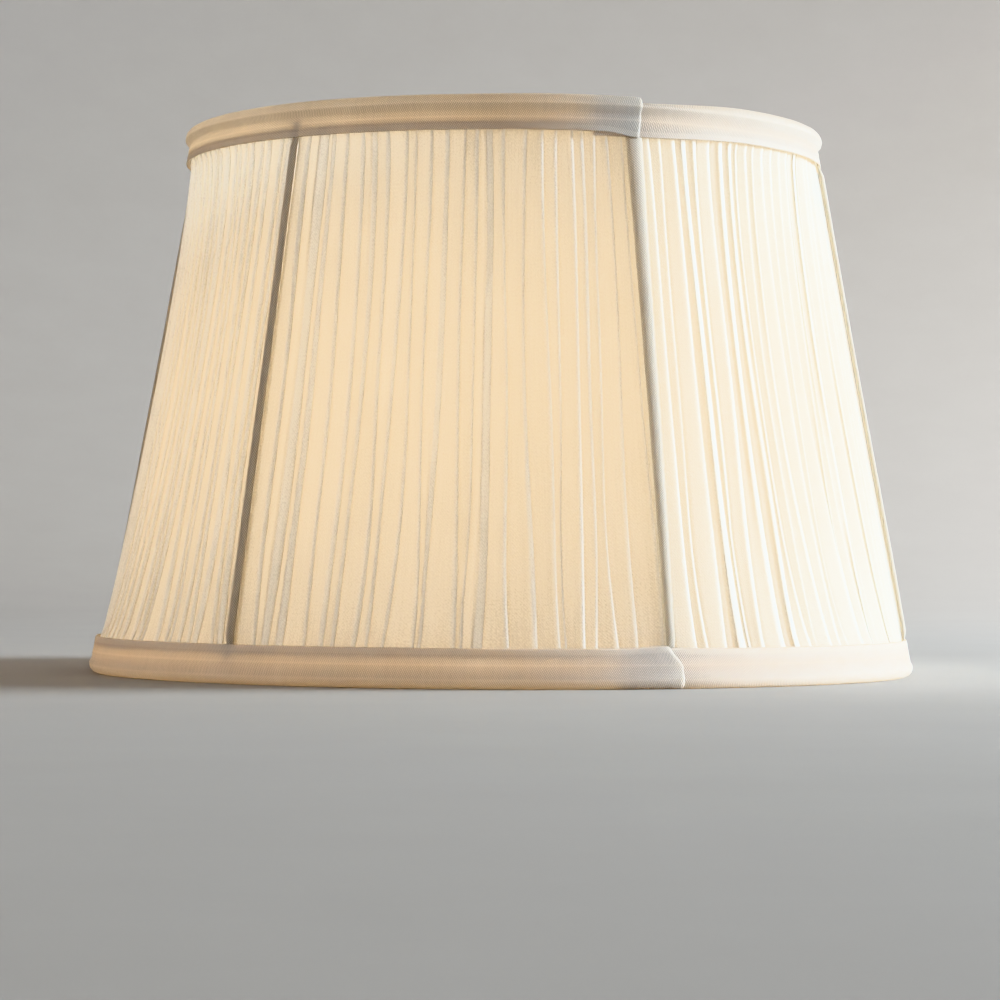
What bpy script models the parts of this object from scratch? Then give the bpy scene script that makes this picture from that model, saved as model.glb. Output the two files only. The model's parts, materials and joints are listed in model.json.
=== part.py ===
"""Pleated fabric lamp shade on a six-strut wire frame, with a reversible gimbal and a reducer ring.

Metres, +Z up. The origin is the centre of the bottom rim, on the surface that the shade stands on.
+X runs along the gimbal's pivot axis, through two opposite struts.
Every layer is placed by its depth: how far it lies outside the straight line down the middle of a strut.
"""

from math import atan, cos, pi, radians, sin, sqrt

import bmesh
import bpy
from mathutils import Matrix, Vector

MM = 0.001
GAP = 0.3 * MM  # between neighbours that touch

# Overall form
HEIGHT = 200 * MM
TOP_RING_RADIUS = 112.0 * MM
BOTTOM_RING_RADIUS = 147.2 * MM
TOP_TRIM_RADIUS = 117.9 * MM
BOTTOM_TRIM_RADIUS = 152.5 * MM

# Frame
WIRE_RADIUS = 1.25 * MM
STRUTS = 6
SECTOR = 360 / STRUTS
FIRST_STRUT = -120.0  # degrees from +X, so that panel 1 faces -Y
GIMBAL_STRUTS = {3: "right", 6: "left"}
LAP_STRUT = 2

# Cloth thicknesses
TAPE = 0.3 * MM
PLEATS = 1.0 * MM
STRIP = 0.5 * MM
TRIM = 0.6 * MM
LINING = 0.4 * MM
PATCH = 0.6 * MM

# Trims
TOP_BAND = 12.4 * MM
BOTTOM_BAND = 13.4 * MM
INNER_BAND = 11 * MM
SHOULDER = 3 * MM  # height of the rounded edge over a ring
RIM_EDGE = 0.6 * MM  # height of the rim's outermost facets
OUTER_FACET = 0.7 * MM  # how far the facets step in from the trim's outer radius
OUTER_ROUND = 2.0 * MM
INNER_ROUND = 1.8 * MM
INNER_FACET = 0.2 * MM
RIM_EASE = 0.5 * MM  # slack between a trim's fold and what it covers
LAP_OVER = 7.5  # degrees of the start that the end covers
LAP_PAST = 1.0  # degrees that the end runs past its strut
LAP_EASE = 22.5  # degrees over which a lapped end comes back to the plain section

# Cloth shapes
STRIP_WIDTH = 5 * MM
STRIP_TUCK = 5 * MM  # length of a strut cover under each trim
PANEL_SAG = 6 * MM  # how far a panel's middle is pulled in
LINING_SAG = 7 * MM
SLIT_HALF_HEIGHT = 4 * MM
SLIT_HALF_WIDTH = 3 * MM
PATCH_HALF_HEIGHT = 11 * MM
PATCH_HALF_WIDTH = 8 * MM
PATCH_GAP = 0.6 * MM

# Gimbal
PIVOT_HEIGHT = HEIGHT - 25 * MM
GIMBAL_DROP = 25 * MM  # from the pivots down to the fitter ring's underside
PEG_RADIUS = 1.5 * MM
PEG_HEAD_RADIUS = 2.75 * MM
PEG_HEAD = 1.2 * MM
LUG_RADIUS = 107.5 * MM  # from the shade's axis to the middle of an arm's lug
LUG_PLAY = 1.0 * MM
LUG_HALF_THICKNESS = 0.6 * MM
LUG_HALF_WIDTH = 4.0 * MM
LUG_CUT = 3 * MM  # half the length of the cutter through a lug
FITTER_HOLE_RADIUS = 21 * MM
FITTER_RADIUS = 28.5 * MM
FITTER_THICKNESS = 1.5 * MM
PRESSED_EDGE = 0.35 * MM  # chamfers on the ring and on the reducer's flange
REDUCER_HOLE_RADIUS = 14.5 * MM
REDUCER_RADIUS = 24 * MM
REDUCER_WALL = 1.5 * MM
REDUCER_DEPTH = 4 * MM

# Facets
FACET = 7.5  # degrees, shared by every round layer so that their flats line up
WIRE_SIDES = 8
TURNED_SIDES = 12
RING_SIDES = 48
PANEL_ROWS = 6
LINING_ROWS = 4

TAPED = WIRE_RADIUS + GAP + TAPE
PANEL_INSIDE = TAPED + GAP
PANEL_OUTSIDE = PANEL_INSIDE + PLEATS
STRIP_INSIDE = PANEL_OUTSIDE + GAP
STRIP_OUTSIDE = STRIP_INSIDE + STRIP
TRIM_OUTSIDE = STRIP_OUTSIDE + GAP + TRIM
LINING_OUTSIDE = -TAPED - GAP
LINING_INSIDE = LINING_OUTSIDE - LINING
TRIM_INSIDE = LINING_INSIDE - GAP - TRIM

RIM_DEPTH = 2 * (TRIM + GAP) + RIM_EASE  # from a rim to the cloth edges inside its trim
BOTTOM_RING_Z = RIM_DEPTH + TAPED
TOP_RING_Z = HEIGHT - BOTTOM_RING_Z
TILT = atan((BOTTOM_RING_RADIUS - TOP_RING_RADIUS) / (TOP_RING_Z - BOTTOM_RING_Z))
FREE_BOTTOM = BOTTOM_BAND
FREE_TOP = HEIGHT - TOP_BAND


def material(name, colour, roughness, metallic=0.0):
    made = bpy.data.materials.new(name)
    made.use_nodes = True
    shader = made.node_tree.nodes["Principled BSDF"]
    shader.inputs["Base Color"].default_value = (*colour, 1)
    shader.inputs["Roughness"].default_value = roughness
    shader.inputs["Metallic"].default_value = metallic
    made.diffuse_color = (*colour, 1)
    return made


def loft(name, loops, cyclic=False):
    """A closed mesh through equal loops of points, capped at its ends unless it runs full circle."""
    mesh = bpy.data.meshes.new(name)
    made = bmesh.new()
    rows = [[made.verts.new(point) for point in loop] for loop in loops]
    for row, following in zip(rows, rows[1:] + rows[:1] if cyclic else rows[1:]):
        for i in range(len(row)):
            j = (i + 1) % len(row)
            made.faces.new((row[i], row[j], following[j], following[i]))
    if not cyclic:
        made.faces.new(rows[0])
        made.faces.new(rows[-1])
    bmesh.ops.recalc_face_normals(made, faces=made.faces)
    made.to_mesh(mesh)
    made.free()
    mesh.shade_smooth()
    mesh.set_sharp_from_angle(angle=radians(40))
    return mesh


def place(name, mesh, surface, turn=0.0, parent=None):
    """An object of the mesh, turned about the shade's axis by so many degrees."""
    made = bpy.data.objects.new(name, mesh)
    bpy.context.collection.objects.link(made)
    if surface.name not in mesh.materials:
        mesh.materials.append(surface)
    made.rotation_euler.z = radians(turn)
    made.parent = parent
    return made


def polar(radius, degrees, z):
    return Vector((radius * cos(radians(degrees)), radius * sin(radians(degrees)), z))


def around(profile, turns):
    """One loop of the flat (radius, z) profile at each of the turns."""
    return [[polar(radius, turn, z) for radius, z in profile] for turn in turns]


def full_circle(steps):
    return [360 * i / steps for i in range(steps)]


def circle(radius, sides, centre=(0.0, 0.0)):
    return [
        Vector((centre[0] + radius * cos(radians(turn)), centre[1] + radius * sin(radians(turn))))
        for turn in full_circle(sides)
    ]


def layer(z, depth):
    """The radius, at height z, of a layer at this depth outside the middle of a strut."""
    strut = TOP_RING_RADIUS + (TOP_RING_Z - z) * sin(TILT) / cos(TILT)
    return strut + depth / cos(TILT)


def strut_turn(number):
    return FIRST_STRUT + SECTOR * (number - 1)


def share_of_height(z):
    """0 at the bottom trim's edge, 1 at the top trim's edge, and no less or more under the trims."""
    return min(1.0, max(0.0, (z - FREE_BOTTOM) / (FREE_TOP - FREE_BOTTOM)))


def free_heights(rows):
    """Heights between the trims, closer together near them."""
    return [FREE_BOTTOM + (FREE_TOP - FREE_BOTTOM) * (1 - cos(pi * i / rows)) / 2 for i in range(rows + 1)]


def offset_chain(chain, distance):
    """The chain of 2D points moved to its left by the distance, with mitred corners."""
    normals = []
    for a, b in zip(chain, chain[1:]):
        along = (b - a).normalized()
        normals.append(Vector((-along.y, along.x)))
    moved = []
    for i, point in enumerate(chain):
        before = normals[max(i - 1, 0)]
        after = normals[min(i, len(normals) - 1)]
        middle = (before + after).normalized()
        moved.append(point + middle * (distance / middle.dot(after)))
    return moved


def thick_chain(chain, distance):
    return chain + offset_chain(chain, distance)[::-1]


def wire_frame(steel, cotton):
    """Two wire rings and six straight struts, with the cotton tape bound round them."""
    turns = full_circle(round(360 / FACET))
    rings = (
        ("top_ring", TOP_RING_RADIUS, TOP_RING_Z, 0),
        ("bottom_ring", BOTTOM_RING_RADIUS, BOTTOM_RING_Z, 180),
    )
    for name, radius, z, facing in rings:
        place(name, loft(name, around(circle(WIRE_RADIUS, WIRE_SIDES, (radius, z)), turns), True), steel)
        arc = [radians(facing + 180 * i / 4) for i in range(5)]
        inner = WIRE_RADIUS + GAP
        bound = [Vector((radius + TAPED * cos(a), z + TAPED * sin(a))) for a in arc]
        bound += [Vector((radius + inner * cos(a), z + inner * sin(a))) for a in reversed(arc)]
        place(name + "_tape", loft(name + "_tape", around(bound, turns), True), cotton)

    foot = Vector((BOTTOM_RING_RADIUS, 0, BOTTOM_RING_Z))
    head = Vector((TOP_RING_RADIUS, 0, TOP_RING_Z))
    along = (head - foot).normalized()
    square = Matrix((along.cross(Vector((0, 1, 0))), Vector((0, 1, 0)), along)).transposed()

    def on_strut(point, centre):
        return centre + square @ Vector((point[0], point[1], 0))

    ends = (foot + along * (WIRE_RADIUS + GAP), head - along * (WIRE_RADIUS + GAP))
    rod = loft("strut", [[on_strut(p, end) for p in circle(WIRE_RADIUS, WIRE_SIDES)] for end in ends])
    tape_ends = (foot + along * (TAPED + GAP), head - along * (TAPED + GAP))
    sleeve_loops = []
    for inner, outer in zip(circle(WIRE_RADIUS + GAP, WIRE_SIDES), circle(TAPED, WIRE_SIDES)):
        low, high = tape_ends
        sleeve_loops.append(
            [on_strut(inner, low), on_strut(outer, low), on_strut(outer, high), on_strut(inner, high)]
        )
    sleeve = loft("strut_tape", sleeve_loops, True)
    for number in range(1, STRUTS + 1):
        place(f"strut_{number}", rod, steel, strut_turn(number))
        place(f"strut_tape_{number}", sleeve, cotton, strut_turn(number))


def pleated_panels(cloth):
    """A panel runs from its own strut to the next, and its free middle is pulled in towards the axis."""
    columns = round(SECTOR / FACET)
    edge = RIM_DEPTH
    loops = []
    for z in [edge] + free_heights(PANEL_ROWS) + [HEIGHT - edge]:
        up = share_of_height(z)
        rows = []
        for depth in (PANEL_OUTSIDE, PANEL_INSIDE):
            row = []
            for i in range(columns + 1):
                across = i / columns
                sag = PANEL_SAG * 4 * across * (1 - across) * sqrt(4 * up * (1 - up))
                radius = layer(z, depth) - sag
                inset = (GAP / 2) / radius * 180 / pi
                turn = min(max(i * FACET, inset), SECTOR - inset)
                row.append(polar(radius, turn, z))
            rows.append(row)
        loops.append(rows[0] + rows[1][::-1])
    mesh = loft("pleated_panel", loops)
    for number in range(1, STRUTS + 1):
        place(f"pleated_panel_{number}", mesh, cloth, strut_turn(number))


def strut_covers(cloth):
    """Narrow folded strips over the seams, with their ends under the trims."""
    half = STRIP_WIDTH / 2
    loops = []
    for z in (FREE_BOTTOM - STRIP_TUCK, FREE_TOP + STRIP_TUCK):
        loop = []
        for depth, sides in ((STRIP_OUTSIDE, (-1, 0, 1)), (STRIP_INSIDE, (1, 0, -1))):
            for side in sides:
                radius = layer(z, depth)
                fall = radius - sqrt(radius**2 - (side * half) ** 2)
                loop.append(Vector((radius - fall, side * half, z)))
        loops.append(loop)
    mesh = loft("strut_cover", loops)
    for number in range(1, STRUTS + 1):
        place(f"strut_cover_{number}", mesh, cloth, strut_turn(number))


def ease(share):
    """A smooth step from 0 to 1."""
    share = min(1.0, max(0.0, share))
    return share * share * (3 - 2 * share)


def trim_section(rim, inward, free_edge, outer_radius, spread, tuck):
    """A folded tape over a rim, as a closed (radius, z) loop.

    rim is the height of the rim and inward is -1 at the top rim and 1 at the bottom one. spread moves
    the two flanges apart and tuck moves the fold towards the ring, so that one end nests in the other.
    """
    shoulder = rim + inward * SHOULDER
    corner = rim + inward * (RIM_EDGE + tuck)
    fold = rim + inward * tuck
    inner_radius = layer(shoulder, TRIM_INSIDE)
    inner_edge = rim + inward * INNER_BAND
    chain = [
        Vector((layer(free_edge, TRIM_OUTSIDE) + spread, free_edge)),
        Vector((outer_radius + spread, shoulder)),
        Vector((outer_radius - OUTER_FACET + spread, corner)),
        Vector((outer_radius - OUTER_ROUND + spread, fold)),
        Vector((inner_radius + INNER_ROUND - spread, fold)),
        Vector((layer(corner, TRIM_INSIDE) + INNER_FACET - spread, corner)),
        Vector((inner_radius - spread, shoulder)),
        Vector((layer(inner_edge, TRIM_INSIDE) - spread, inner_edge)),
    ]
    return thick_chain(chain, -inward * TRIM)


def trims(cloth):
    """One folded tape round each rim, whose end laps over its start at the lap strut."""
    step = TRIM + GAP
    lap = strut_turn(LAP_STRUT)
    turns = [FACET * i - LAP_OVER for i in range(round((360 + LAP_OVER) / FACET) + 1)] + [360 + LAP_PAST]
    rims = (
        ("top_trim", HEIGHT, -1, FREE_TOP, TOP_TRIM_RADIUS),
        ("bottom_trim", 0.0, 1, FREE_BOTTOM, BOTTOM_TRIM_RADIUS),
    )
    for name, rim, inward, free_edge, outer_radius in rims:
        loops = []
        for turn in turns:
            tuck = step * ease((LAP_EASE - turn) / (LAP_EASE - LAP_PAST))
            spread = step * ease((turn - 360 + LAP_OVER + LAP_EASE) / LAP_EASE)
            section = trim_section(rim, inward, free_edge, outer_radius, spread, tuck)
            loops.append([polar(radius, lap + turn, z) for radius, z in section])
        place(name, loft(name, loops), cloth)


def lining_layer(z, depth):
    up = share_of_height(z)
    return layer(z, depth) - LINING_SAG * 4 * up * (1 - up)


def lining(cloth):
    """Two halves, seamed at the gimbal struts, with a slit in each seam for a peg."""
    slit = (PIVOT_HEIGHT - SLIT_HALF_HEIGHT, PIVOT_HEIGHT, PIVOT_HEIGHT + SLIT_HALF_HEIGHT)
    heights = sorted([RIM_DEPTH, HEIGHT - RIM_DEPTH, *free_heights(LINING_ROWS), *slit])
    columns = round(180 / FACET)
    loops = []
    for z in heights:
        opening = GAP / 2 + (SLIT_HALF_WIDTH if z == PIVOT_HEIGHT else 0)
        rows = []
        for depth in (LINING_OUTSIDE, LINING_INSIDE):
            radius = lining_layer(z, depth)
            inset = opening / radius * 180 / pi
            turns = [min(max(i * FACET, inset), 180 - inset) for i in range(columns + 1)]
            rows.append([polar(radius, turn, z) for turn in turns])
        loops.append(rows[0] + rows[1][::-1])
    mesh = loft("lining_half", loops)
    place("lining_back", mesh, cloth)
    place("lining_front", mesh, cloth, 180)


def peg_hole(name, start, end, turn, parent=None):
    """A hidden round cutter along a peg, from one radius to another."""
    sides = circle(PEG_RADIUS + GAP, TURNED_SIDES)
    height = 0 if parent else PIVOT_HEIGHT
    mesh = loft(name, [[Vector((x, y, height + z)) for y, z in sides] for x in (start, end)])
    cutter = bpy.data.objects.new(name, mesh)
    bpy.context.collection.objects.link(cutter)
    cutter.rotation_euler.z = radians(turn)
    cutter.parent = parent
    cutter.hide_render = True
    cutter.display_type = "WIRE"
    return cutter


def cut(piece, cutter):
    hole = piece.modifiers.new("peg_hole", "BOOLEAN")
    hole.operation = "DIFFERENCE"
    hole.object = cutter


def pegs_and_patches(steel, cloth):
    """Headed pegs welded inside two struts, and the cloth patches round them."""
    root = layer(PIVOT_HEIGHT, -WIRE_RADIUS - GAP)
    head = LUG_RADIUS - LUG_PLAY - LUG_HALF_THICKNESS
    outline = (
        (root, PEG_RADIUS),
        (head, PEG_RADIUS),
        (head, PEG_HEAD_RADIUS),
        (head - PEG_HEAD, PEG_HEAD_RADIUS),
    )
    peg_loops = []
    for x, radius in outline:
        peg_loops.append([Vector((x, y, PIVOT_HEIGHT + z)) for y, z in circle(radius, TURNED_SIDES)])
    peg = loft("peg", peg_loops)

    loops = []
    for z in (PIVOT_HEIGHT - PATCH_HALF_HEIGHT, PIVOT_HEIGHT, PIVOT_HEIGHT + PATCH_HALF_HEIGHT):
        outer = lining_layer(z, LINING_INSIDE) - PATCH_GAP
        half_turn = PATCH_HALF_WIDTH / outer * 180 / pi
        loop = [polar(outer, turn, z) for turn in (-half_turn, 0, half_turn)]
        loop += [polar(outer - PATCH, turn, z) for turn in (half_turn, 0, -half_turn)]
        loops.append(loop)
    patch = loft("neatener", loops)
    for number, side in GIMBAL_STRUTS.items():
        turn = strut_turn(number)
        place(f"pivot_peg_{side}", peg, steel, turn)
        cutter = peg_hole(f"peg_cutter_{side}", LUG_RADIUS, layer(PIVOT_HEIGHT, 0), turn)
        cut(place(f"neatener_{side}", patch, cloth, turn), cutter)
        cut(bpy.data.objects[f"strut_tape_{number}"], cutter)


def arm_mesh():
    """A wire from a flattened lug on the peg, inwards and down, to its weld under the fitter ring."""
    weld = -GIMBAL_DROP - GAP - WIRE_RADIUS
    lug = LUG_RADIUS
    flat = LUG_HALF_THICKNESS
    wide = LUG_HALF_WIDTH
    wire = WIRE_RADIUS
    # (radius, height from the pivot, half width, half thickness)
    path = (
        (lug, 4.4 * MM, 2.2 * MM, flat),
        (lug, 2.6 * MM, wide, flat),
        (lug, -2.6 * MM, wide, flat),
        (lug, -5.5 * MM, 2.0 * MM, 0.9 * MM),
        (lug - 0.8 * MM, -8.0 * MM, wire, wire),
        (lug - 3.0 * MM, -10.2 * MM, wire, wire),
        (lug - 6.5 * MM, -11.4 * MM, wire, wire),
        (FITTER_RADIUS + 8 * MM, weld + 2.6 * MM, wire, wire),
        (FITTER_RADIUS + 4 * MM, weld + 0.8 * MM, wire, wire),
        (FITTER_RADIUS + 1 * MM, weld, wire, wire),
        (FITTER_HOLE_RADIUS + 2 * MM, weld, wire, wire),
    )
    middle = [Vector(point[:2]) for point in path]
    loops = []
    for i, (_, _, half_width, half_thickness) in enumerate(path):
        along = (middle[min(i + 1, len(path) - 1)] - middle[max(i - 1, 0)]).normalized()
        across = Vector((-along.y, along.x))
        loop = []
        for x, y in circle(1, TURNED_SIDES):
            point = middle[i] + across * (y * half_thickness)
            loop.append(Vector((point.x, x * half_width, point.y)))
        loops.append(loop)
    return loft("gimbal_arm", loops)


def gimbal(steel, plastic):
    """The carrier that swings on the pegs, and the reducer that drops into its ring."""
    pivot = bpy.data.objects.new("gimbal_pivot", None)
    bpy.context.collection.objects.link(pivot)
    pivot.location = (0, 0, PIVOT_HEIGHT)
    arm = arm_mesh()
    for number, side in GIMBAL_STRUTS.items():
        turn = strut_turn(number)
        cutter = peg_hole(f"lug_cutter_{side}", LUG_RADIUS - LUG_CUT, LUG_RADIUS + LUG_CUT, turn, pivot)
        cut(place(f"gimbal_arm_{side}", arm, steel, turn, pivot), cutter)

    turns = full_circle(RING_SIDES)
    under = -GIMBAL_DROP
    top = under + FITTER_THICKNESS
    washer = (
        (FITTER_HOLE_RADIUS, under),
        (FITTER_RADIUS - PRESSED_EDGE, under),
        (FITTER_RADIUS, under + PRESSED_EDGE),
        (FITTER_RADIUS, top - PRESSED_EDGE),
        (FITTER_RADIUS - PRESSED_EDGE, top),
        (FITTER_HOLE_RADIUS, top),
    )
    place("fitter_ring", loft("fitter_ring", around(washer, turns), True), steel, 0, pivot)

    seat = bpy.data.objects.new("reducer_seat", None)
    bpy.context.collection.objects.link(seat)
    seat.parent = pivot
    seat.location = (0, 0, top)
    spigot = FITTER_HOLE_RADIUS - GAP
    web = -FITTER_THICKNESS - REDUCER_DEPTH
    profile = (
        (REDUCER_HOLE_RADIUS, web),
        (spigot, web),
        (spigot, GAP),
        (REDUCER_RADIUS, GAP),
        (REDUCER_RADIUS, GAP + REDUCER_WALL - PRESSED_EDGE),
        (REDUCER_RADIUS - PRESSED_EDGE, GAP + REDUCER_WALL),
        (spigot - REDUCER_WALL + PRESSED_EDGE, GAP + REDUCER_WALL),
        (spigot - REDUCER_WALL, GAP + REDUCER_WALL - PRESSED_EDGE),
        (spigot - REDUCER_WALL, web + REDUCER_WALL),
        (REDUCER_HOLE_RADIUS, web + REDUCER_WALL),
    )
    place("reducer_ring", loft("reducer_ring", around(profile, turns), True), plastic, 0, seat)


def main():
    for old in list(bpy.data.objects):
        bpy.data.objects.remove(old)
    steel = material("white_wire", (0.86, 0.85, 0.82), 0.35)
    cotton = material("binding_tape", (0.80, 0.76, 0.68), 0.9)
    pleats = material("pleated_cloth", (0.87, 0.79, 0.64), 0.8)
    bias = material("bias_trim", (0.88, 0.82, 0.71), 0.75)
    crepe = material("lining_cloth", (0.90, 0.87, 0.80), 0.7)
    plastic = material("reducer_plastic", (0.90, 0.90, 0.88), 0.4)
    wire_frame(steel, cotton)
    pleated_panels(pleats)
    strut_covers(bias)
    trims(bias)
    lining(crepe)
    pegs_and_patches(steel, crepe)
    gimbal(steel, plastic)


main()
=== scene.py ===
"""Looks of the pleated lamp shade: pleats, folded tapes, lining, bound wires, the lit bulb and the room.

Metres, +Z up, in the frame of the CAD model. Every layer of cloth is placed by its depth, which is how far
it lies outside the straight line down the middle of a strut, as in the CAD model. Each cloth is one surface
of quads. Its "cloth" attribute holds the place on the flat cloth in millimetres, and a tone, which makes
the colour paler the higher it is. The tone is random from pleat to pleat and strip to strip, and is painted
light and shade on the rolls of the folds and across the trims.
"""

import json
from math import atan, cos, degrees, pi, radians, sin

import bpy
import numpy as np
from mathutils import Matrix, Vector


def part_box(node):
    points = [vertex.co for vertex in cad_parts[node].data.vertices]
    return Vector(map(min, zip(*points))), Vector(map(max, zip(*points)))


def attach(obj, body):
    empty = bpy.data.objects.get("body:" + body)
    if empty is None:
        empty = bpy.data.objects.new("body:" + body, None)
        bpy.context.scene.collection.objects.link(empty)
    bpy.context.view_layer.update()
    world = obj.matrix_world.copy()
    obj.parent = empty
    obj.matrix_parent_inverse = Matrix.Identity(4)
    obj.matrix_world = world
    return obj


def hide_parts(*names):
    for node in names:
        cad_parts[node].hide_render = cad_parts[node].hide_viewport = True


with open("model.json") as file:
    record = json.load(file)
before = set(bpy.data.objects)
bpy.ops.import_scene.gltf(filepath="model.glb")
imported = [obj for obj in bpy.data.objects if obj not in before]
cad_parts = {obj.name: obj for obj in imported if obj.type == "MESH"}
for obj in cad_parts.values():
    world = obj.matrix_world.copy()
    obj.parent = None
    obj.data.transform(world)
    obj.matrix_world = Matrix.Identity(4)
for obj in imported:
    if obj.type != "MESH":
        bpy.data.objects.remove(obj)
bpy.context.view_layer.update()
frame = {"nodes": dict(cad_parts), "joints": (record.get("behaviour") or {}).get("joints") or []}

MM = 0.001
SECTOR = 60.0  # degrees between two struts
FIRST_STRUT = -120.0
LAP_TURN = -60.0  # where the trims' ends lap
GIMBAL_STRUTS = {3: "right", 6: "left"}


def ring_of(node):
    """Radius, height and wire radius of a round ring that lies flat."""
    low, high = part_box(node)
    wire = (high.z - low.z) / 2
    return high.x - wire, (low.z + high.z) / 2, wire


TOP_RADIUS, TOP_Z, WIRE = ring_of("top_ring")
BOTTOM_RADIUS, BOTTOM_Z, _ = ring_of("bottom_ring")
TILT = atan((BOTTOM_RADIUS - TOP_RADIUS) / (TOP_Z - BOTTOM_Z))
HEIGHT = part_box("top_trim")[1].z
TOP_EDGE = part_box("top_trim")[0].z  # free edges of the trims
BOTTOM_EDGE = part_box("bottom_trim")[1].z
TOP_TRIM_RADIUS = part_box("top_trim")[1].x
BOTTOM_TRIM_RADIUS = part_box("bottom_trim")[1].x
PIVOT_Z = frame["joints"][0]["pos_m"][2]

# Depths of the layers, from the lining out to the trims
LINING_DEPTH = -2.3 * MM
PLEAT_DEPTH = 2.2 * MM
PLEAT_HEIGHT = 1.55 * MM
STRIP_DEPTH = 3.3 * MM
TRIM_DEPTH = 4.6 * MM
TRIM_INNER_DEPTH = -3.3 * MM

# Pleats
PLEATS = 24  # in each panel
UNDERLAP = 0.2 * MM  # of cloth hidden on each side of a pleat
PANEL_SAG = 6 * MM  # how far the middle of a panel is drawn in
PANEL_ROWS = 44
PANEL_GAP = 0.2 * MM  # from a panel's edge to the middle of its strut
CLOTH_HEM = 9 * MM  # from a rim to the cut edges of the pleated cloth and the lining
ROLLS = (0.7, 0.9, 1.2, 1.9, 2.8)  # widths of a fold's roll in millimetres, from crisp to soft
ROLL_SHARES = (0.3, 0.3, 0.2, 0.12, 0.08)
# painted highlight: the tone of the roll at each fold's edge, which paints it whiter
FOLD_HIGHLIGHT_TONE = 2.0

# Trims
HEM = 3.0 * MM  # turned under at each long edge
INNER_BAND = 11.2 * MM  # from the rim to the free edge inside
TAPE_POINTS = 27  # across a tape
OUTER_POINTS = 15  # of them, on the outside and over the rim
LAP_OVER = 7.5  # degrees of the start that the end covers
LAP_PAST = 1.0  # degrees that the end runs past its strut
LAP_EASE = 24.0  # degrees over which a lapped end comes back to the plain section
LAP_LIFT = 0.75 * MM
LAP_TUCK = 1.5 * MM  # of the top trim's start
TOP_LAP_DROOP = 1.7 * MM
BOTTOM_LAP_DROOP = 0.8 * MM
LAP_FOLD = 6 * MM  # turned under at the end
CREASE = 0.48 * MM  # from the end's outer face to the cloth turned under it

# Strips over the seams: each strut's width at the top, at the bottom, and shift to the left
STRIP_ROWS = 44
STRIP_HEIGHT = 1.4 * MM  # for 1 in the cross-section
STRIP_TUCK = 5 * MM  # of each end under a trim
STRIPS = {
    1: (2.9 * MM, 2.8 * MM, 0.3 * MM),
    2: (5.8 * MM, 3.0 * MM, 0.7 * MM),
    3: (4.2 * MM, 3.8 * MM, 0.4 * MM),
    4: (3.8 * MM, 4.2 * MM, -0.4 * MM),
    5: (4.6 * MM, 3.8 * MM, 0.5 * MM),
    6: (4.2 * MM, 4.6 * MM, -0.3 * MM),
}

# Lining
LINING_SAG = 7 * MM
LINING_ROWS = 60
SLIT = 3.2 * MM  # half the width of the slit at a peg
SLIT_REACH = 7 * MM  # above and below the peg
ALLOWANCE = 3.5 * MM  # turned out at each seam
PATCH_WIDTH = 16 * MM
PATCH_HEIGHT = 22 * MM

WRAP_PITCH = 7 * MM  # of the cotton tapes round the wires

CAMERA_TURN = 7.6  # degrees to the right of the front
CAMERA_DISTANCE = 1.199
CAMERA_HEIGHT = 0.0462
CAMERA_LENS = 115.5  # millimetres
CAMERA_PAN = 0.0005  # radians to the left of the shade's axis
CAMERA_PITCH = 90.86  # degrees up from straight down
CAMERA_ROLL = 0.32  # degrees


# ---------------------------------------------------------------- camera

def camera():
    """A long lens a little right of the front, just above the bottom rim, looking slightly up."""
    turn = radians(CAMERA_TURN)
    data = bpy.data.cameras.new("camera")
    data.lens = CAMERA_LENS
    data.sensor_width = 36
    made = bpy.data.objects.new("camera", data)
    bpy.context.scene.collection.objects.link(made)
    aim = Matrix.Rotation(turn + CAMERA_PAN, 4, "Z") @ Matrix.Rotation(radians(CAMERA_PITCH), 4, "X")
    place = Matrix.Translation((CAMERA_DISTANCE * sin(turn), -CAMERA_DISTANCE * cos(turn), CAMERA_HEIGHT))
    made.matrix_world = place @ aim @ Matrix.Rotation(radians(CAMERA_ROLL), 4, "Z")
    bpy.context.scene.camera = made


# ---------------------------------------------------------------- shapes

def layer(z, depth):
    """The radius, at height z, of a layer at this depth outside the middle of a strut."""
    return TOP_RADIUS + (TOP_Z - z) * sin(TILT) / cos(TILT) + depth / cos(TILT)


def ease(share):
    share = np.clip(share, 0, 1)
    return share * share * (3 - 2 * share)


def free_share(z):
    """0 at the bottom trim's free edge, 1 at the top trim's, and no less or more under the trims."""
    return np.clip((z - BOTTOM_EDGE) / (TOP_EDGE - BOTTOM_EDGE), 0, 1)


def strut_turn(number):
    return FIRST_STRUT + SECTOR * (number - 1)


def polar(radius, turn, z):
    """Points from arrays of radius, turn in degrees and height."""
    radius, turn, z = np.broadcast_arrays(radius, np.radians(turn), z)
    return np.stack((radius * np.cos(turn), radius * np.sin(turn), z), axis=-1)


def wander(rng, count, places, waves=3, pace=2.2):
    """Smooth random lines, one for each of count, at places from 0 to 1, mostly between -1 and 1."""
    total = np.zeros((count, len(places)))
    for k in range(1, waves + 1):
        phase = rng.uniform(0, 2 * pi, (count, 1))
        total += np.sin(pace * k * places[None, :] * rng.uniform(0.7, 1.3, (count, 1)) * pi / 2 + phase) / k
    return total / 1.5


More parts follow.
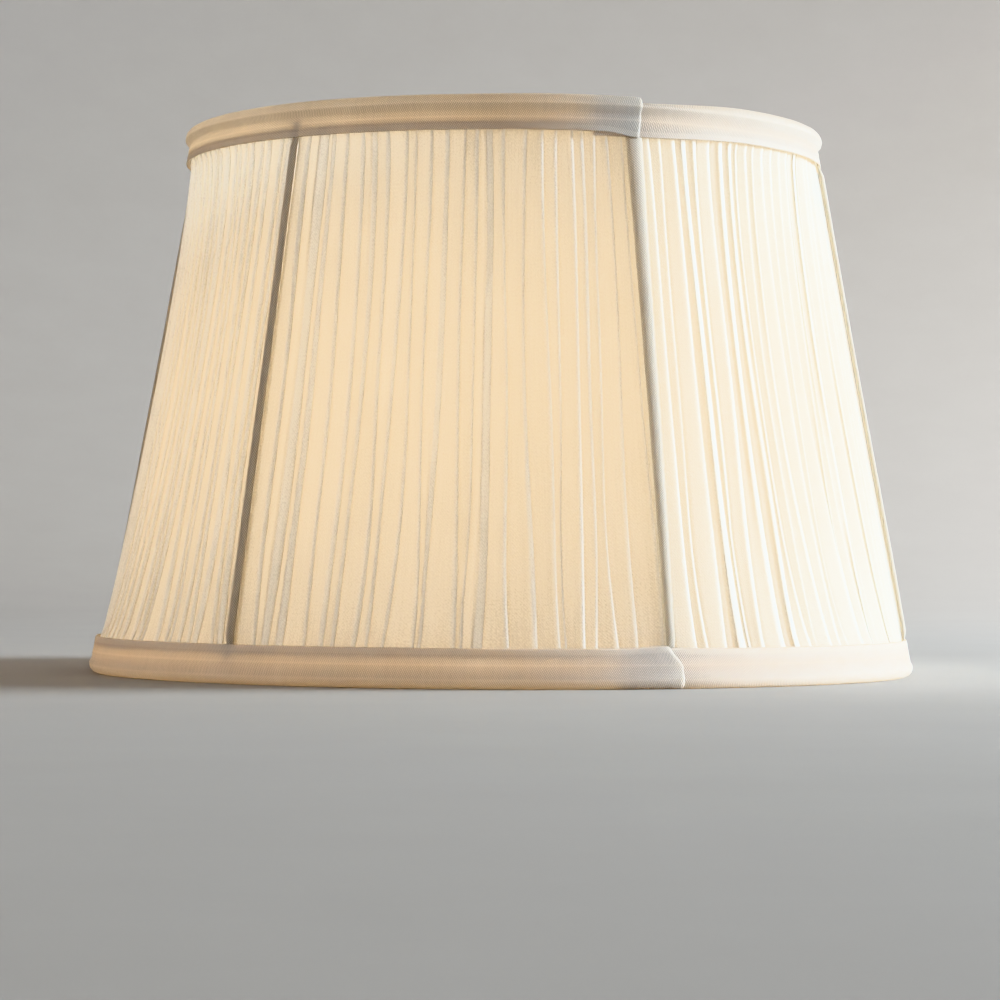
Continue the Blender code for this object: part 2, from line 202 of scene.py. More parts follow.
def grid(name, points, cloth, surface, closed_rows=False, closed_columns=False):
    """A mesh object of quads through an array of points, rows by columns."""
    rows, columns = points.shape[:2]
    index = np.arange(rows * columns).reshape(rows, columns)
    if closed_rows:
        index = np.vstack((index, index[:1]))
    if closed_columns:
        index = np.hstack((index, index[:, :1]))
    quads = np.stack((index[:-1, :-1], index[:-1, 1:], index[1:, 1:], index[1:, :-1]), axis=-1).reshape(-1, 4)
    mesh = bpy.data.meshes.new(name)
    mesh.from_pydata(points.reshape(-1, 3).tolist(), [], quads.tolist())
    places = mesh.attributes.new("cloth", "FLOAT_VECTOR", "POINT")
    places.data.foreach_set("vector", cloth.reshape(-1).astype(np.float32))
    mesh.materials.append(surface)
    mesh.shade_smooth()
    made = bpy.data.objects.new(name, mesh)
    bpy.context.scene.collection.objects.link(made)
    return made


def cloth_places(points, tone=0.5):
    """Places on the flat cloth in millimetres, from lengths along the grid's middle row and column."""
    rows, columns = points.shape[:2]
    middle_row = points[rows // 2]
    middle_column = points[:, columns // 2]
    x = np.concatenate(([0], np.cumsum(np.linalg.norm(np.diff(middle_row, axis=0), axis=1))))
    y = np.concatenate(([0], np.cumsum(np.linalg.norm(np.diff(middle_column, axis=0), axis=1))))
    cloth = np.zeros(points.shape)
    cloth[..., 0] = x[None, :] / MM
    cloth[..., 1] = y[:, None] / MM
    cloth[..., 2] = tone
    return cloth


# ---------------------------------------------------------------- materials

class Tree:
    """A material's nodes, with short ways to add them."""

    def __init__(self, name):
        self.material = bpy.data.materials.new(name)
        self.material.use_nodes = True
        self.nodes = self.material.node_tree.nodes
        self.links = self.material.node_tree.links
        self.shader = self.nodes["Principled BSDF"]
        self.output = self.nodes["Material Output"]

    def add(self, kind, inputs=None, **settings):
        made = self.nodes.new("ShaderNode" + kind)
        for key, value in settings.items():
            setattr(made, key, value)
        for key, value in (inputs or {}).items():
            if isinstance(value, bpy.types.NodeSocket):
                self.links.new(value, made.inputs[key])
            else:
                made.inputs[key].default_value = value
        return made

    def math(self, operation, a, b=0.0):
        return self.add("Math", {0: a, 1: b}, operation=operation).outputs[0]

    def scaled(self, vector, scale):
        """The vector with each part multiplied."""
        return self.add("VectorMath", {0: vector, 1: scale}, operation="MULTIPLY").outputs[0]

    def wave(self, place, direction, pitch, phase=0.0):
        """A sine from 0 to 1 along a direction of the flat cloth."""
        turns = (2 * pi / pitch * direction[0], 2 * pi / pitch * direction[1], 0)
        along = self.add("VectorMath", {0: place, 1: turns}, operation="DOT_PRODUCT").outputs["Value"]
        return self.range(self.math("SINE", self.math("ADD", along, phase)), -1, 1)

    def noise(self, vector, scale, detail=2.0, roughness=0.5):
        inputs = {"Scale": scale, "Detail": detail, "Roughness": roughness, "Vector": vector}
        return self.add("TexNoise", inputs).outputs["Fac"]

    def range(self, value, low, high, to_low=0.0, to_high=1.0):
        made = self.add("MapRange", {"Value": value, "From Min": low, "From Max": high})
        made.inputs["To Min"].default_value = to_low
        made.inputs["To Max"].default_value = to_high
        return made.outputs["Result"]

    def mix(self, factor, a, b):
        made = self.add("Mix", data_type="RGBA")
        for socket, value in zip((made.inputs[0], made.inputs[6], made.inputs[7]), (factor, a, b)):
            if isinstance(value, bpy.types.NodeSocket):
                self.links.new(value, socket)
            else:
                socket.default_value = value
        return made.outputs[2]

    def set(self, **values):
        for key, value in values.items():
            socket = self.shader.inputs[key.replace("_", " ")]
            if isinstance(value, bpy.types.NodeSocket):
                self.links.new(value, socket)
            else:
                socket.default_value = value

    def bump(self, height, depth, strength=1.0):
        made = self.add("Bump", {"Height": height, "Distance": depth, "Strength": strength})
        self.links.new(made.outputs["Normal"], self.shader.inputs["Normal"])
        return made.outputs["Normal"]


def colour(red, green, blue, gain=1.0):
    return (red * gain, green * gain, blue * gain, 1)


def twill(tree, place, angle, pitch):
    """Height of a twill weave: slanting ribs, broken into short stitches by the yarns that cross them."""
    slope = (cos(radians(angle)), sin(radians(angle)))
    jitter = tree.math("MULTIPLY", tree.noise(place, 0.9, 3.0), 3.0)
    ribs = tree.wave(place, slope, pitch, jitter)
    yarns = tree.wave(place, (-slope[1], slope[0]), pitch * 1.1, jitter)
    return tree.math("MULTIPLY", ribs, tree.range(yarns, 0, 1, 0.45, 1.0))


def trim_twill(tree, place):
    return twill(tree, place, -30, 0.62)


def strip_twill(tree, place):
    return twill(tree, place, 40, 0.6)


def crepe(tree, place):
    """Height of a crepe: fine grains of twisted yarn, a little longer down the cloth than across it."""
    grain = tree.noise(tree.scaled(place, (1.9, 1.4, 0)), 1.0, 3.0, 0.65)
    yarns = tree.wave(place, (0.8, 0.6), 0.66, tree.math("MULTIPLY", tree.noise(place, 0.9), 5.0))
    return tree.math("MULTIPLY", tree.range(grain, 0.3, 0.7), tree.range(yarns, 0, 1, 0.55, 1.0))


def fabric(name, base, glow, through, weave, depth, streak, sheen=0.25, roughness=0.8, shade=0.82, thick=0.0):
    """A woven cloth that also lets light through.

    base is its colour from outside and glow the colour it gives to light that passes. weave makes the height,
    depth is its relief in metres, streak how irregular the yarns are, and shade how dark the weave's pits are
    painted, as painted shade in the pits. The cloth's tone adds to the colour: random tone, and painted light
    and shade on the fold rolls and the trims. thick is the share of the passing light that is held back where
    the cloth's tone is 2.
    """
    tree = Tree(name)
    place = tree.add("Attribute", attribute_name="cloth").outputs["Vector"]
    tone = tree.add("SeparateXYZ", {0: place}).outputs["Z"]
    flat = tree.scaled(place, (1, 1, 0))
    height = weave(tree, flat)
    streaks = tree.noise(tree.scaled(place, (1.3, 0.035, 0)), 1.0, 3.0, 0.65)
    clouds = tree.noise(flat, 0.045, 2.0)
    streaks = tree.range(streaks, 0.3, 0.7, -streak, streak)
    uneven_and_painted_light = tree.math("ADD", streaks, tree.range(clouds, 0.3, 0.7, -0.03, 0.03))
    # the tone adds to the colour: random tone, and painted light and shade on the fold rolls and the trims
    uneven_and_painted_light = tree.math("ADD", uneven_and_painted_light, tree.range(tone, -1, 4, -0.12, 0.38))
    # painted shade: the weave's pits are darkened in the colour
    light = tree.math("ADD", tree.range(height, 0, 1, shade, 1.0), uneven_and_painted_light)
    seen = tree.mix(light, colour(*base, 0.0), colour(*base))
    passed = tree.mix(tree.range(light, 0, 1, 0.5, 1.0), colour(*glow, 0.0), colour(*glow))
    rough = tree.range(height, 0, 1, roughness + 0.08, roughness - 0.05)
    tree.set(Base_Color=seen, Roughness=rough)
    tree.set(Specular_IOR_Level=0.25, Sheen_Weight=sheen, Sheen_Roughness=0.45)
    tree.shader.inputs["Sheen Tint"].default_value = colour(1, 0.97, 0.92)
    normal = tree.bump(height, depth)
    lit = tree.add("BsdfTranslucent", {"Color": passed, "Normal": normal})
    share = tree.range(tone, 1, 2, through, through * (1 - thick))
    mixed = tree.add("MixShader", {0: share, 1: tree.shader.outputs[0], 2: lit.outputs[0]})
    tree.links.new(mixed.outputs[0], tree.output.inputs["Surface"])
    return tree.material


def white_wire():
    """Steel wire under a thin white coat, with a faint orange peel and dull scuffs."""
    tree = Tree("white_wire")
    place = tree.add("NewGeometry").outputs["Position"]
    peel = tree.noise(place, 1400, 2.0)
    scuffs = tree.range(tree.noise(place, 90, 4.0, 0.6), 0.55, 0.75)
    tree.set(Base_Color=tree.mix(scuffs, colour(0.84, 0.83, 0.80), colour(0.66, 0.65, 0.63)))
    tree.set(Roughness=tree.range(scuffs, 0, 1, 0.28, 0.5), Coat_Weight=0.25, Coat_Roughness=0.3)
    tree.bump(peel, 0.02 * MM, 0.6)
    return tree.material


def reducer_plastic():
    """White moulded plastic with a fine matt grain and turning marks."""
    tree = Tree("reducer_plastic")
    place = tree.add("NewGeometry").outputs["Position"]
    grain = tree.noise(place, 2600, 2.0)
    flow = tree.noise(place, 60, 2.0)
    pale = tree.mix(tree.range(flow, 0.3, 0.7), colour(0.86, 0.86, 0.84), colour(0.80, 0.80, 0.77))
    tree.set(Base_Color=pale)
    tree.set(Roughness=tree.range(grain, 0.3, 0.7, 0.35, 0.48), Subsurface_Weight=0.08)
    tree.bump(grain, 0.015 * MM, 0.5)
    return tree.material


# ---------------------------------------------------------------- pleated panels

def pleat_lines(rng, places):
    """The fold edges of a panel's pleats as shares of its width, a row each, at places from 0 to 1 up it."""
    widths = rng.uniform(0.6, 1.45, PLEATS)
    base = np.concatenate(([0], np.cumsum(widths))) / widths.sum()
    loose = 0.12 + 0.45 * (1 - places) ** 3 + 0.1 * places**4
    lines = base[:, None] + wander(rng, PLEATS + 1, places) * loose / PLEATS
    lines[0] = 0
    lines[-1] = 1
    least = 0.35 / PLEATS
    for i in range(1, PLEATS + 1):
        lines[i] = np.maximum(lines[i], lines[i - 1] + least)
    return lines / lines[-1]


# One pleat from its hidden start to its hidden end: the share of its visible width, the share of the underlap
# to the left of that, the share of the fold's roll, and the share of its height.
PLEAT = (
    (0.0, 1.00, 0.0, 0.10),
    (0.0, 0.96, 0.0, 0.03),
    (0.0, 0.40, 0.0, 0.05),
    (0.0, 0.00, 0.0, 0.14),
    (0.25, 0.0, 0.0, 0.40),
    (0.55, 0.0, 0.0, 0.72),
    (0.80, 0.0, 0.8, 0.95),
    (1.0, 0.0, 1.00, 1.00),
    (1.0, 0.0, 0.70, 0.97),
    (1.0, 0.0, 0.42, 0.89),
    (1.0, 0.0, 0.20, 0.76),
    (1.0, 0.0, 0.05, 0.60),
    (1.0, 0.0, 0.00, 0.44),
    (1.0, 0.20, 0.06, 0.33),
    (1.0, 0.60, 0.0, 0.24),
    (1.0, 0.99, 0.0, 0.15),
)
FOLD_POINTS = range(7, 12)  # of PLEAT: the roll at a fold's edge, painted whiter as a painted highlight, and less see-through where the cloth lies double


def pleated_panel(number, surface):
    """One length of cloth in knife pleats that all face the same way, stretched between two struts."""
    rng = np.random.default_rng(40 + number)
    steps = np.linspace(0, 1, PANEL_ROWS)
    heights = CLOTH_HEM + (HEIGHT - 2 * CLOTH_HEM) * (steps - 0.06 * np.sin(2 * pi * steps))
    places = heights / HEIGHT
    lines = pleat_lines(rng, places)
    rolls = rng.choice(ROLLS, PLEATS, p=ROLL_SHARES)
    rolls = rolls[:, None] * (1 + 0.35 * wander(rng, PLEATS, places)) * MM
    tall = PLEAT_HEIGHT * (0.85 + 0.22 * wander(rng, PLEATS, places))
    tones = rng.uniform(0, 1, PLEATS)
    free = free_share(heights)
    inward = np.minimum(heights - CLOTH_HEM, HEIGHT - CLOTH_HEM - heights)
    taut = ease(inward / (14 * MM))
    base = layer(heights, PLEAT_DEPTH)
    columns = []
    marks = []
    run = 0.0
    for i in range(PLEATS):
        width = (lines[i + 1] - lines[i]) * base * radians(SECTOR)
        before = np.full(PANEL_ROWS, 0.1 * MM)
        if i > 0:
            before = (lines[i] - lines[i - 1]) * base * radians(SECTOR)
        under = np.minimum(UNDERLAP, 0.8 * before)
        over = np.minimum(UNDERLAP, 0.8 * width)
        roll = np.minimum(rolls[i], 0.4 * width)
        raised = tall[i] * (0.55 + 0.45 * taut) * np.minimum(1, width / (4.5 * MM))
        for k, (across, tucked, rolled, height) in enumerate(PLEAT):
            hidden = under if across == 0 else over
            shift = across * width - tucked * hidden - rolled * roll
            share = lines[i] + shift / (base * radians(SECTOR))
            share = np.clip(share, 0.0, 1.0)
            sag = PANEL_SAG * 4 * share * (1 - share) * np.sqrt(4 * free * (1 - free))
            radius = base + height * raised / cos(TILT) - sag
            inset = degrees(PANEL_GAP) / base
            turn = strut_turn(number) + inset + (SECTOR - 2 * inset) * share
            columns.append(polar(radius, turn, heights))
            if len(columns) > 1:
                run += np.linalg.norm(columns[-1] - columns[-2], axis=1).mean() / MM
            # the rolls of the folds get the painted highlight tone; the rest of each pleat keeps its own
            # random tone
            marks.append((run, FOLD_HIGHLIGHT_TONE if k in FOLD_POINTS else tones[i]))
    points = np.stack(columns, axis=1)
    cloth = np.zeros(points.shape)
    cloth[..., 0] = [run for run, _ in marks]
    cloth[..., 1] = heights[:, None] / MM
    cloth[..., 2] = [tone for _, tone in marks]
    made = grid(f"pleats_{number}", points, cloth, surface)
    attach(made, "shade")
    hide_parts(f"pleated_panel_{number}")


# ---------------------------------------------------------------- strips over the seams

# One strip's cross-section, from one raw edge to the other: the share of its width to the left of its middle,
# and its height over the pleats. Both raw edges are turned under, one over the other.
STRIP_SECTION = (
    (-0.36, 0.30),
    (0.10, 0.24),
    (0.42, 0.22),
    (0.485, 0.34),
    (0.50, 0.62),
    (0.47, 0.92),
    (0.38, 1.12),
    (0.22, 1.25),
    (0.05, 1.30),
    (-0.12, 1.28),
    (-0.28, 1.18),
    (-0.41, 1.00),
    (-0.48, 0.76),
    (-0.50, 0.45),
    (-0.47, 0.18),
    (-0.38, 0.05),
    (-0.05, 0.06),
    (0.34, 0.04),
)


def strip(number, surface):
    """A bias strip with its raw edges turned under, laid down a strut over the panels' seam."""
    rng = np.random.default_rng(70 + number)
    places = np.linspace(0, 1, STRIP_ROWS)
    rise = TOP_EDGE - BOTTOM_EDGE + 2 * STRIP_TUCK
    heights = BOTTOM_EDGE - STRIP_TUCK + rise * places
    top_width, bottom_width, aside = STRIPS[number]
    wide = bottom_width + (top_width - bottom_width) * places
    wide = wide * (1 + 0.07 * wander(rng, 1, places)[0])
    aside = aside + 0.15 * MM * wander(rng, 1, places)[0]
    puff = 1 + 0.12 * wander(rng, 1, places, 5)[0]
    free = np.minimum(heights - BOTTOM_EDGE, TOP_EDGE - heights)
    puff = puff * (0.3 + 0.7 * ease((free + 0.5 * MM) / (4 * MM)))
    columns = []
    for left, height in STRIP_SECTION:
        radius = layer(heights, STRIP_DEPTH) + height * puff * STRIP_HEIGHT / cos(TILT)
        turn = strut_turn(number) - np.degrees((left * wide + aside) / radius)
        columns.append(polar(radius, turn, heights))
    points = np.stack(columns, axis=1)
    made = grid(f"strip_{number}", points, cloth_places(points, rng.uniform(0, 1)), surface)
    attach(made, "shade")
    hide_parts(f"strut_cover_{number}")


# ---------------------------------------------------------------- trims

def trim_chain(rim, inward, free_edge, outer_radius, lift, tuck, droop):
    """One cross-section of a folded tape over a rim, from its outer raw edge to its inner raw edge.

    Each point has a radius, a height, a distance from the rim and a tone. The tones are painted light and
    shade from the bulb behind the tape: paler near the free edge and in a narrow line above and below the
    ring, where less lies behind the tape, and darker over the ring, as the ring's painted shadow.
    rim is the rim's height, and inward is -1 at the top rim and 1 at the bottom one. lift moves the tape away
    from what it covers, tuck lowers its fold, and droop widens its outer flange.
    """
    inner = TRIM_INNER_DEPTH
    space = 0.35 * MM
    band = abs(free_edge - rim) + droop + 0.9 * tuck

    def flank(h, more=0.0):
        return layer(rim + inward * h, TRIM_DEPTH + more) + lift

    def lining_side(h, more=0.0):
        return layer(rim + inward * h, inner - more) - lift

    out = outer_radius + lift
    low = tuck - lift * 0.5 if inward < 0 else 0.0
    chain = [
        (flank(band - HEM, -space), band - HEM, 0.4),
        (flank(band - 0.5 * MM, -space), band - 0.5 * MM, 1.0),
        (flank(band, -space * 0.5), band, 1.6),
        (flank(band - 0.4 * MM), band - 0.4 * MM, 1.8),
        (flank(band - 1.9 * MM), band - 1.9 * MM, 1.4),
        (flank(band - 2.3 * MM), band - 2.3 * MM, 0.0),
        (flank(8.5 * MM), 8.5 * MM, 0.1),
        (flank(7.9 * MM, 0.04 * MM), 7.9 * MM, 1.3),
        (flank(7.3 * MM), 7.3 * MM, -0.3),
        (flank(5.4 * MM), 5.4 * MM, -0.4),
        (out - 0.02 * MM, 3.7 * MM, -0.2),
        (out - 0.01 * MM, 3.0 * MM, 1.2),
        (out - 0.15 * MM, 2.3 * MM, 0.2),
        (out - 0.45 * MM, 1.5 * MM + low, 0.0),
        (out - 1.2 * MM, 0.65 * MM + low, -0.2),
        (out - 2.3 * MM, 0.12 * MM + low, 0.0),
        (out - 3.8 * MM, low, 0.5),
        (lining_side(0) + 3.4 * MM, low + 0.02 * MM, 0.5),
        (lining_side(0) + 1.9 * MM, 0.25 * MM + low, 0.5),
        (lining_side(0) + 0.8 * MM, 0.95 * MM + low, 0.5),
        (lining_side(2.2 * MM) + 0.1 * MM, 2.2 * MM, 0.5),
        (lining_side(4 * MM), 4 * MM, 0.5),
        (lining_side(INNER_BAND * 0.6), INNER_BAND * 0.6, 0.5),
        (lining_side(INNER_BAND - 0.4 * MM), INNER_BAND - 0.4 * MM, 0.5),
        (lining_side(INNER_BAND, -space * 0.5), INNER_BAND, 0.5),
        (lining_side(INNER_BAND - 0.5 * MM, -space), INNER_BAND - 0.5 * MM, 0.5),
        (lining_side(INNER_BAND - HEM * 0.8, -space), INNER_BAND - HEM * 0.8, 0.5),
    ]
    return [(radius, rim + inward * h, h, tone) for radius, h, tone in chain]


def trim(name, rim, inward, free_edge, outer_radius, corner, painted_light, surface, seed):
    """A tape round a rim, whose folded end lies over its start.

    corner is how far the end's free corner draws back, and the argument after it is added to the tape's tone
    as painted light, which makes the whole tape paler.
    """
    rng = np.random.default_rng(seed)
    turns = list(np.arange(-LAP_OVER, 360 + LAP_PAST - 4, 1.0))
    turns += list(np.linspace(turns[-1] + 0.5, 360 + LAP_PAST - 0.15, 10))
    fold = degrees(LAP_FOLD / outer_radius)
    end = 360 + LAP_PAST
    path = [(turn, 0.0) for turn in turns]
    path += [(end, -0.22 * MM), (end - 0.12, -0.42 * MM), (end - 0.4, -CREASE)]
    path += [(end - fold * share, -CREASE) for share in (0.4, 0.7, 1.0)]
    around = np.array([turn for turn, _ in path]) / 360
    ripple = wander(rng, TAPE_POINTS, around, 5, 60.0)
    crown = wander(rng, TAPE_POINTS, around, 6, 130.0)
    columns = []
    for i, (turn, back) in enumerate(path):
        over = float(ease((turn - 360 + LAP_OVER + LAP_EASE) / LAP_EASE))
        under = float(ease((4 - turn) / 4))
        near_end = float(ease((turn - (end - 9)) / 9))
        lift = LAP_LIFT * over - 0.25 * MM * under + back
        tuck = 0.0
        droop = BOTTOM_LAP_DROOP * near_end
        if inward < 0:
            tuck = LAP_TUCK * float(ease((LAP_EASE - turn) / (LAP_EASE - LAP_PAST)))
            droop = TOP_LAP_DROOP * near_end * near_end
        section = trim_chain(rim, inward, free_edge, outer_radius, lift, tuck, droop)
        column = []
        for k, (radius, z, h, _) in enumerate(section):
            puff = 0.06 * MM * ripple[k, i] + 0.05 * MM * crown[k, i]
            drawn = corner * float(ease((h - 7 * MM) / (8 * MM))) * near_end if k < OUTER_POINTS else 0.0
            column.append(polar(radius + puff, LAP_TURN + turn - degrees(drawn / outer_radius), z))
        columns.append(column)
    points = np.array(columns).transpose(1, 0, 2)
    cloth = cloth_places(points)
    cloth[..., 2] = np.array([tone + painted_light for _, _, _, tone in section])[:, None]
    cloth[..., 0] = (np.array([turn for turn, _ in path]) * radians(1) * outer_radius / MM)[None, :]
    made = grid(name, points, cloth, surface)
    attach(made, "shade")
    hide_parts(name.replace("binding", "trim"))


# ---------------------------------------------------------------- lining

def lining_radius(z, depth):
    up = free_share(z)
    return layer(z, depth) - LINING_SAG * 4 * up * (1 - up)


def lining(name, start, surface, seed):
    """Half of the smooth lining, with its seam allowances turned out behind it and a slit round each peg."""
    rng = np.random.default_rng(seed)
    heights = CLOTH_HEM + (HEIGHT - 2 * CLOTH_HEM) * np.linspace(0, 1, LINING_ROWS)
    inner = np.linspace(0, 1, 121)
    slit = SLIT * ease(1 - np.abs(heights - PIVOT_Z) / SLIT_REACH)
    pull = 0.25 * MM * wander(rng, LINING_ROWS, inner, 5, 26.0)
    near_rings = 1 - ease(np.minimum(heights, HEIGHT - heights) / (45 * MM))
    columns = []
    allowance = ((ALLOWANCE, 0.9), (1.5 * MM, 0.9), (0.3 * MM, 0.45))
    for back, depth in allowance:
        turn = start + np.degrees((slit + 0.3 * MM + back) / layer(heights, 0))
        columns.append(polar(lining_radius(heights, LINING_DEPTH + depth * MM), turn, heights))
    for i, share in enumerate(inner):
        gap = np.degrees((slit * max(0.0, 1 - 12 * min(share, 1 - share)) + 0.15 * MM) / layer(heights, 0))
        turn = start + gap + (180 - 2 * gap) * share
        ripple = pull[0, i] * near_rings + 0.3 * pull[20, i]
        columns.append(polar(lining_radius(heights, LINING_DEPTH) + ripple, turn, heights))
    for back, depth in reversed(allowance):
        turn = start + 180 - np.degrees((slit + 0.3 * MM + back) / layer(heights, 0))
        columns.append(polar(lining_radius(heights, LINING_DEPTH + depth * MM), turn, heights))
    points = np.stack(columns, axis=1)
    made = grid(name, points, cloth_places(points), surface)
    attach(made, "shade")
    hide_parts(name.replace("_cloth", ""))


def neatener(side, turn, surface):
    """A small cloth patch with turned edges round a peg, sewn to the lining."""
    columns = 48
    outline = np.linspace(0, 2 * pi, columns, endpoint=False)
    reach = 1 / ((np.abs(np.cos(outline)) ** 4 + np.abs(np.sin(outline)) ** 4) ** 0.25)
    steps = ((0.0, 0.15), (0.12, 0.0), (0.4, 0.12), (0.7, 0.05), (0.93, 0.1))
    steps += ((0.99, -0.05), (1.0, -0.25), (0.97, -0.4), (0.8, -0.4))
    rows = []
    hole = 1.9 * MM
    for share, proud in steps:
        x = np.cos(outline) * (hole + (PATCH_WIDTH / 2 * reach - hole) * share)
        z = PIVOT_Z + np.sin(outline) * (hole + (PATCH_HEIGHT / 2 * reach - hole) * share)
        pucker = 0.12 * MM * np.sin(9 * outline) * share * (1 - share) * 4
        radius = lining_radius(z, LINING_DEPTH) - 0.8 * MM - proud * MM + pucker
        rows.append(polar(radius, turn + np.degrees(x / radius), z))
    points = np.stack(rows, axis=0)
    cloth = np.zeros(points.shape)
    across = np.cross((0, 0, 1), (cos(radians(turn)), sin(radians(turn)), 0))
    cloth[..., 0] = points @ across / MM
    cloth[..., 1] = points[..., 2] / MM
    cloth[..., 2] = 0.5
    made = grid(f"neatener_cloth_{side}", points, cloth, surface, closed_columns=True)
    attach(made, "shade")
    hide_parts(f"neatener_{side}")


# ---------------------------------------------------------------- bound wires

def bound_tube(name, centres, frames, surface, replaced, closed=False, pitch=WRAP_PITCH):
    """Cotton tape wound round a wire: each turn of the tape steps up over the turn before it."""
    sides = 14
    run = np.concatenate(([0], np.cumsum(np.linalg.norm(np.diff(centres, axis=0), axis=1))))
    rows = []
    for k in range(sides):
        share = k / sides
        phase = (run / pitch + share) % 1.0
        radius = WIRE + 0.12 * MM + 0.28 * MM * phase
        angle = 2 * pi * share
        rows.append(centres + (frames[0] * cos(angle) + frames[1] * sin(angle)) * radius[:, None])
    points = np.stack(rows, axis=0)
    cloth = np.zeros(points.shape)
    cloth[..., 0] = run[None, :] / MM
    cloth[..., 1] = (np.arange(sides) / sides * 2 * pi * WIRE / MM)[:, None]
    cloth[..., 2] = 0.5
    made = grid(name, points, cloth, surface, closed_rows=True, closed_columns=closed)
    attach(made, "shade")
    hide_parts(replaced)


def bound_ring(name, radius, z, surface):
    turns = np.arange(0, 360, 0.75)
    centres = polar(radius, turns, z)
    outward = polar(1.0, turns, 0.0)
    upward = np.broadcast_to((0.0, 0.0, 1.0), outward.shape)
    length = 2 * pi * radius
    pitch = length / round(length / WRAP_PITCH)
    bound_tube(name, centres, (outward, upward), surface, name.replace("_wrap", "_tape"), True, pitch)


def bound_strut(number, surface):
    foot = Vector((BOTTOM_RADIUS, 0, BOTTOM_Z))
    head = Vector((TOP_RADIUS, 0, TOP_Z))
    along = (head - foot).normalized()
    places = np.linspace(0.012, 0.988, 150)
    centres = np.array(foot) + places[:, None] * np.array(head - foot)
    side = np.broadcast_to((0.0, 1.0, 0.0), centres.shape)
    front = np.broadcast_to(np.array(along.cross(Vector((0, 1, 0)))), centres.shape)
    spin = np.array(Matrix.Rotation(radians(strut_turn(number)), 3, "Z"))
    frames = (front @ spin.T, side @ spin.T)
    bound_tube(f"strut_wrap_{number}", centres @ spin.T, frames, surface, f"strut_tape_{number}")


# ---------------------------------------------------------------- room and light

def lamp(name, kind, energy, tint, location, size=0.1, size_y=None, target=(0, 0, 0.1)):
    data = bpy.data.lights.new(name, kind)
    data.energy = energy
    data.color = tint
    if kind == "AREA":
        data.shape = "RECTANGLE"
        data.size = size
        data.size_y = size_y or size
    else:
        data.shadow_soft_size = size
    made = bpy.data.objects.new(name, data)
    made.location = location
    made.rotation_euler = (Vector(target) - Vector(location)).to_track_quat("-Z", "Y").to_euler()
    made.visible_camera = False
    bpy.context.scene.collection.objects.link(made)


def from_camera_side(turn, distance, height):
    """A place round the shade, with its turn in degrees to the right of the camera."""
    angle = radians(-90 + CAMERA_TURN + turn)
    return (distance * cos(angle), distance * sin(angle), height)


def room():
    """A pale floor that rises all round into a pale wall, out of the way of every view."""
    flat = 1.0
    bend = 2.0
    profile = [(0.0, 0.0), (flat / 2, 0.0), (flat, 0.0)]
    profile += [(flat + bend * sin(a), bend - bend * cos(a)) for a in np.linspace(0, pi / 2, 24)[1:]]
    profile.append((flat + bend, flat + bend))
    turns = np.arange(0, 360, 5.0)
    points = np.stack([polar(radius, turns, z) for radius, z in profile], axis=0)
    tree = Tree("pale_wall")
    spot = tree.add("NewGeometry").outputs["Position"]
    mottle = tree.noise(spot, 14, 4.0, 0.6)
    pale = tree.mix(tree.range(mottle, 0.3, 0.7), colour(0.38, 0.352, 0.328), colour(0.39, 0.362, 0.338))
    tree.set(Base_Color=pale)
    tree.set(Roughness=0.9, Specular_IOR_Level=0.1)
    made = grid("floor", points, np.zeros(points.shape), tree.material, closed_columns=True)


def lights():
    lamp("bulb", "POINT", 2.2, (1.0, 0.81, 0.54), (0, 0, 0.088), 0.03)
    lamp("window", "AREA", 290, (0.77, 0.90, 1.0), from_camera_side(98, 2.0, 0.34), 0.9, 0.64)
    lamp("side_fill", "AREA", 108, (1.0, 0.975, 0.93), from_camera_side(-50, 2.6, 0.4), 1.8, 1.2)
    lamp("low_fill", "AREA", 105, (1.0, 0.88, 0.72), from_camera_side(-30, 2.4, 0.12), 1.6, 0.2)
    lamp("top_fill", "AREA", 16, (1.0, 0.97, 0.92), (0.3, 0.2, 2.6), 2.0)
    wall_spot = from_camera_side(168, 2.2, 0.4)
    lamp("wall_wash", "AREA", 17, (1.0, 0.99, 0.97), from_camera_side(140, 1.5, 1.2), 0.8, 0.8, wall_spot)
    world = bpy.data.worlds.new("room_light")
    world.use_nodes = True
    world.node_tree.nodes["Background"].inputs[0].default_value = (1.0, 0.96, 0.91, 1)
    world.node_tree.nodes["Background"].inputs[1].default_value = 0.14
    bpy.context.scene.world = world


# ---------------------------------------------------------------- everything together

camera()

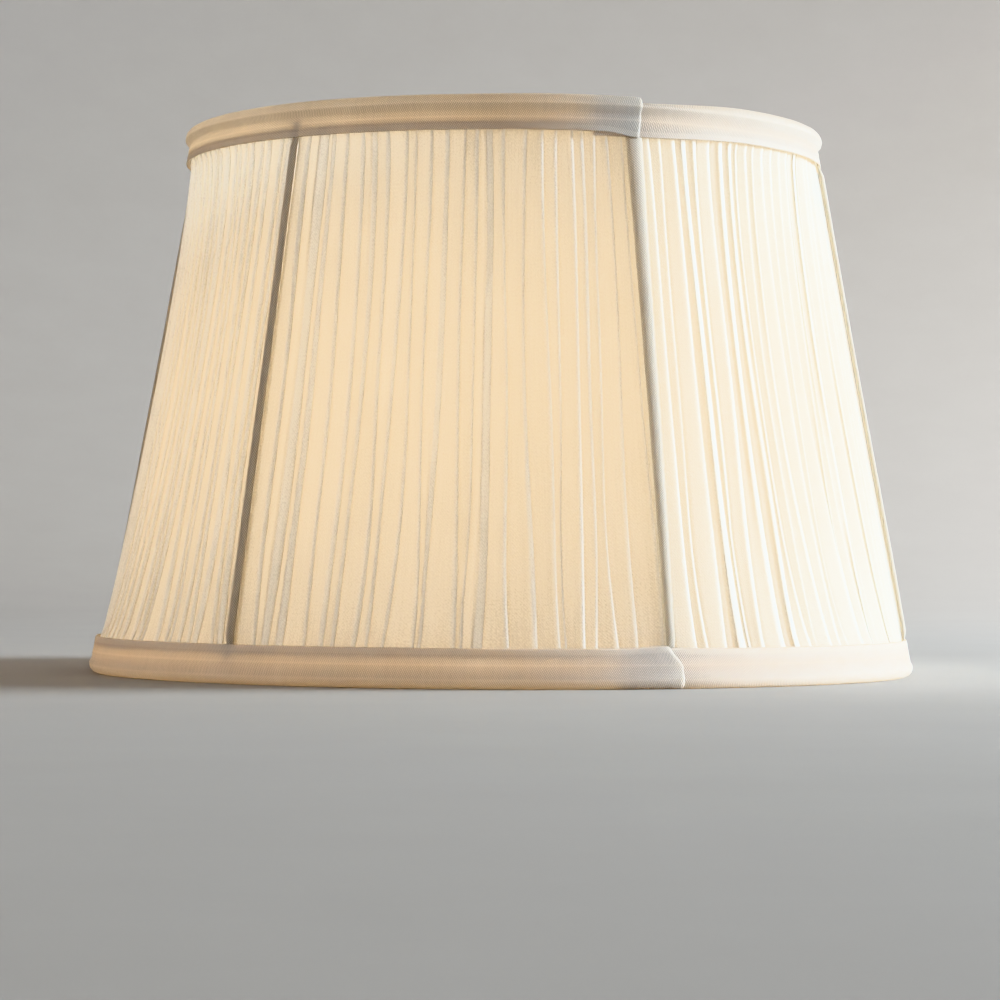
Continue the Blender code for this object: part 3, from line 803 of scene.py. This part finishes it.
pleat_cloth = fabric(
    "pleated_crepe", (0.90, 0.90, 0.89), (1.0, 0.94, 0.83), through=0.5, weave=crepe, depth=0.12 * MM,
    streak=0.07, sheen=0.2, shade=0.6, thick=0.42,
)
lining_cloth = fabric(
    "lining_satin", (0.88, 0.87, 0.85), (1.0, 0.97, 0.93), through=0.34, weave=crepe, depth=0.02 * MM,
    streak=0.02, roughness=0.6,
)

trim_cloth = fabric(
    "bias_twill", (1.0, 0.98, 0.955), (1.0, 0.84, 0.63), through=0.52, weave=trim_twill, depth=0.14 * MM,
    streak=0.04, sheen=0.3, shade=0.4,
)
strip_cloth = fabric(
    "strip_twill", (1.0, 0.95, 0.88), (1.0, 0.87, 0.67), through=0.5, weave=strip_twill, depth=0.14 * MM,
    streak=0.03, sheen=0.3, shade=0.4,
)
tape_cloth = fabric(
    "cotton_tape", (0.86, 0.84, 0.80), (1.0, 0.92, 0.80), through=0.4, weave=crepe, depth=0.06 * MM,
    streak=0.04,
)

for number in range(1, 7):
    pleated_panel(number, pleat_cloth)
    strip(number, strip_cloth)
    bound_strut(number, tape_cloth)
trim("top_binding", HEIGHT, -1, TOP_EDGE, TOP_TRIM_RADIUS, 1.4 * MM, 0.0, trim_cloth, 5)
# the bottom tape is given 1.9 of painted light, standing in for light from below
trim("bottom_binding", 0.0, 1, BOTTOM_EDGE, BOTTOM_TRIM_RADIUS, 5 * MM, 1.9, trim_cloth, 6)
lining("lining_back_cloth", 0, lining_cloth, 11)
lining("lining_front_cloth", 180, lining_cloth, 12)
for number, side in GIMBAL_STRUTS.items():
    neatener(side, strut_turn(number), lining_cloth)
bound_ring("top_ring_wrap", TOP_RADIUS, TOP_Z, tape_cloth)
bound_ring("bottom_ring_wrap", BOTTOM_RADIUS, BOTTOM_Z, tape_cloth)

wire = white_wire()
plastic = reducer_plastic()
for name, piece in frame["nodes"].items():
    if not piece.hide_render:
        piece.data.materials.clear()
        piece.data.materials.append(plastic if name == "reducer_ring" else wire)

room()
lights()
bpy.context.scene.view_settings.view_transform = "Khronos PBR Neutral"
